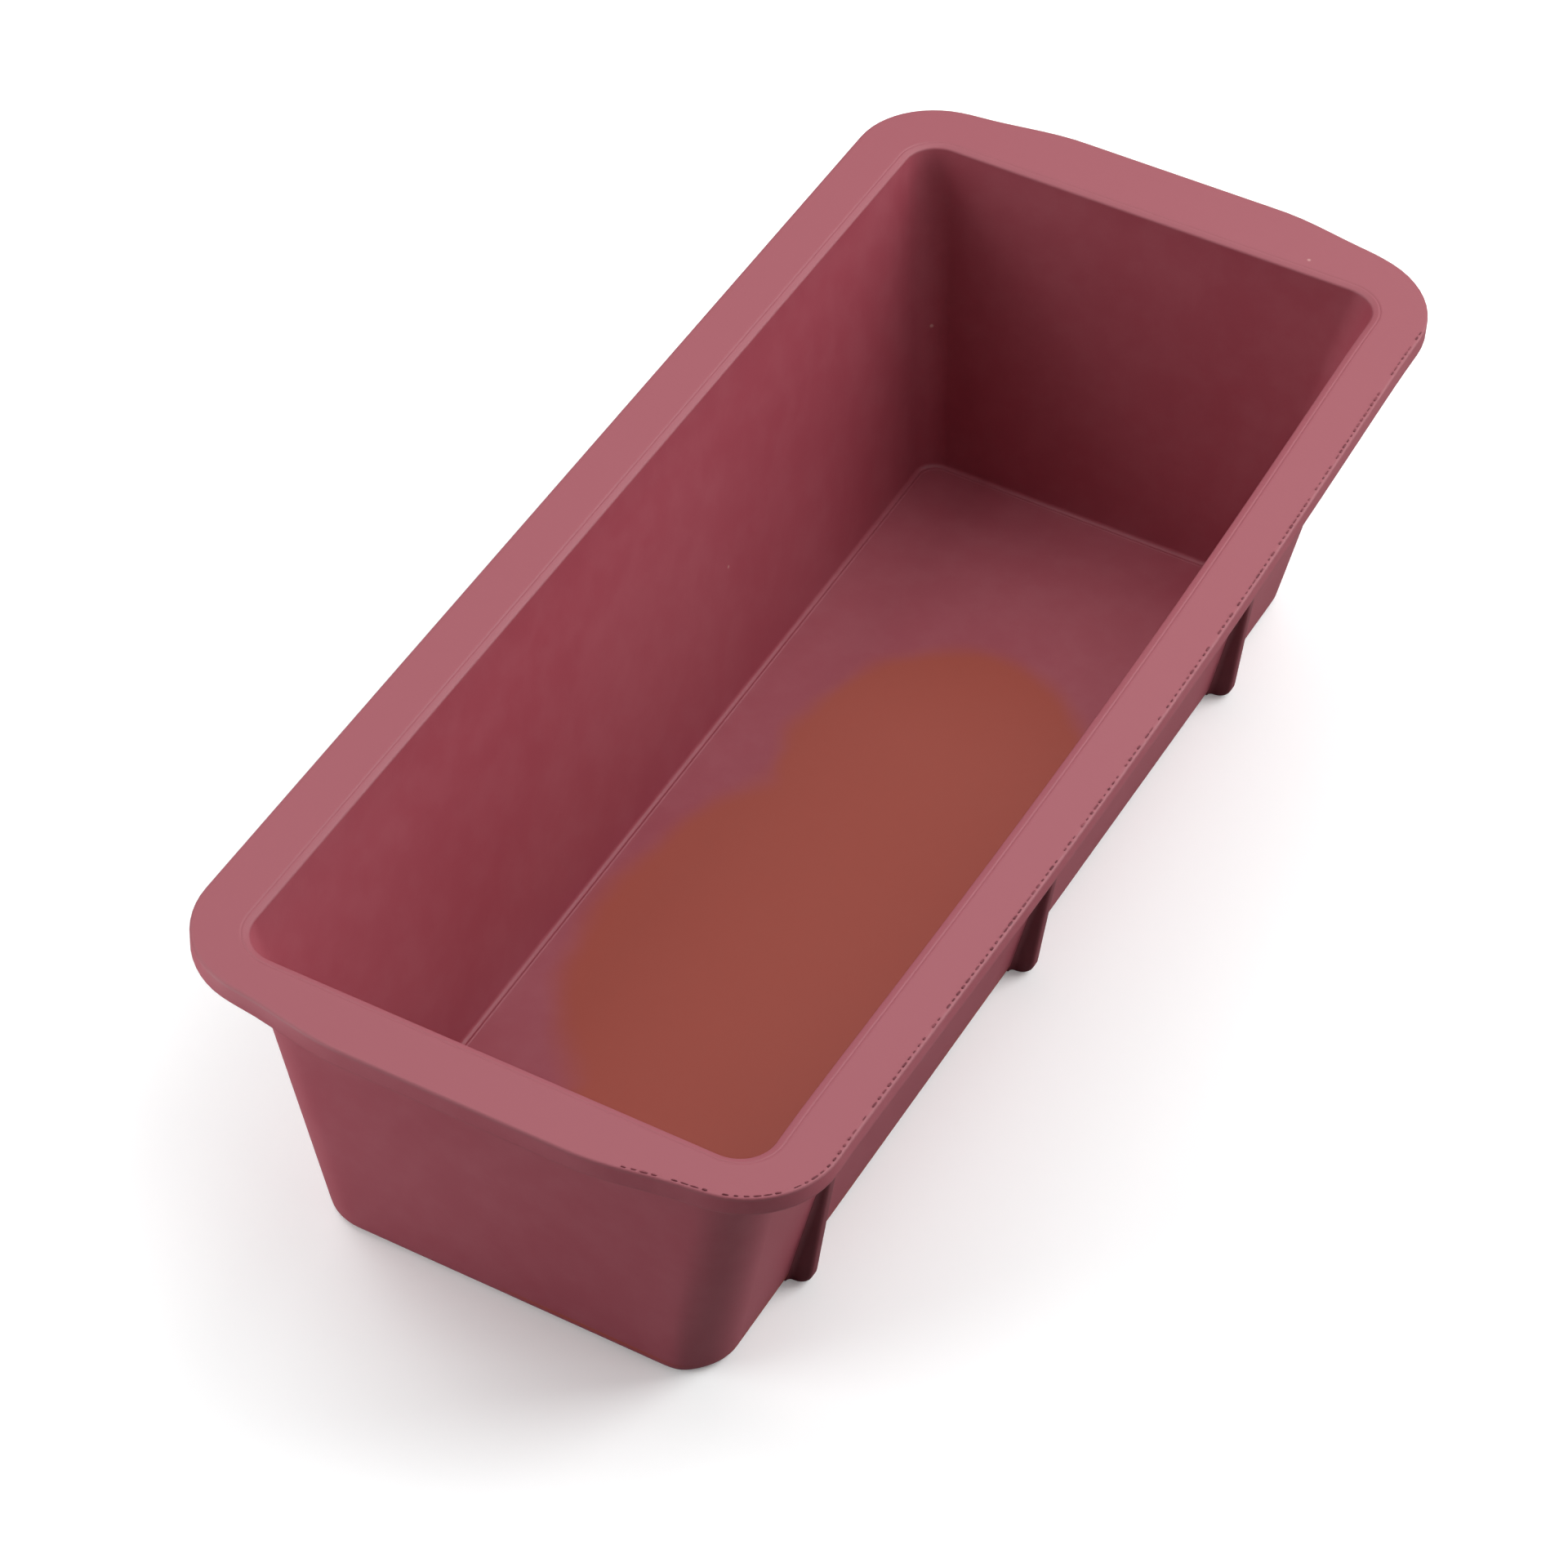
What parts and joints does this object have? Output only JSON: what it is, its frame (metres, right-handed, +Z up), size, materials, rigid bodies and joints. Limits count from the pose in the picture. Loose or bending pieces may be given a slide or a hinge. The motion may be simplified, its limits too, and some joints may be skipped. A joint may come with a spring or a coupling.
{
  "type": "soap loaf mould",
  "caption": "Long open silicone trough with drafted walls, rounded corners, a flat flange with a swollen grip at each end and upright foot ribs on its long sides, for casting a loaf of soap.",
  "frame": {"origin": "middle of the flat underside, on the table", "axes": "+X along the trough's length to its back end, +Y across to its left side, +Z up out of the mouth"},
  "size_m": [0.265, 0.1124, 0.0666],
  "materials": {
    "silicone": "matt translucent silicone with a faint sheen"
  },
  "bodies": {
    "root": {"floor_panel": "silicone", "long_wall_left": "silicone", "long_wall_right": "silicone", "end_wall_front": "silicone", "end_wall_back": "silicone", "wall_corner_front_left": "silicone", "wall_corner_front_right": "silicone", "wall_corner_back_left": "silicone", "wall_corner_back_right": "silicone", "flange_left": "silicone", "flange_right": "silicone", "grip_front": "silicone", "grip_back": "silicone", "flange_corner_front_left": "silicone", "flange_corner_front_right": "silicone", "flange_corner_back_left": "silicone", "flange_corner_back_right": "silicone", "foot_rib_left_front": "silicone", "foot_rib_left_middle": "silicone", "foot_rib_left_back": "silicone", "foot_rib_right_front": "silicone", "foot_rib_right_middle": "silicone", "foot_rib_right_back": "silicone"}
  },
  "joints": []
}
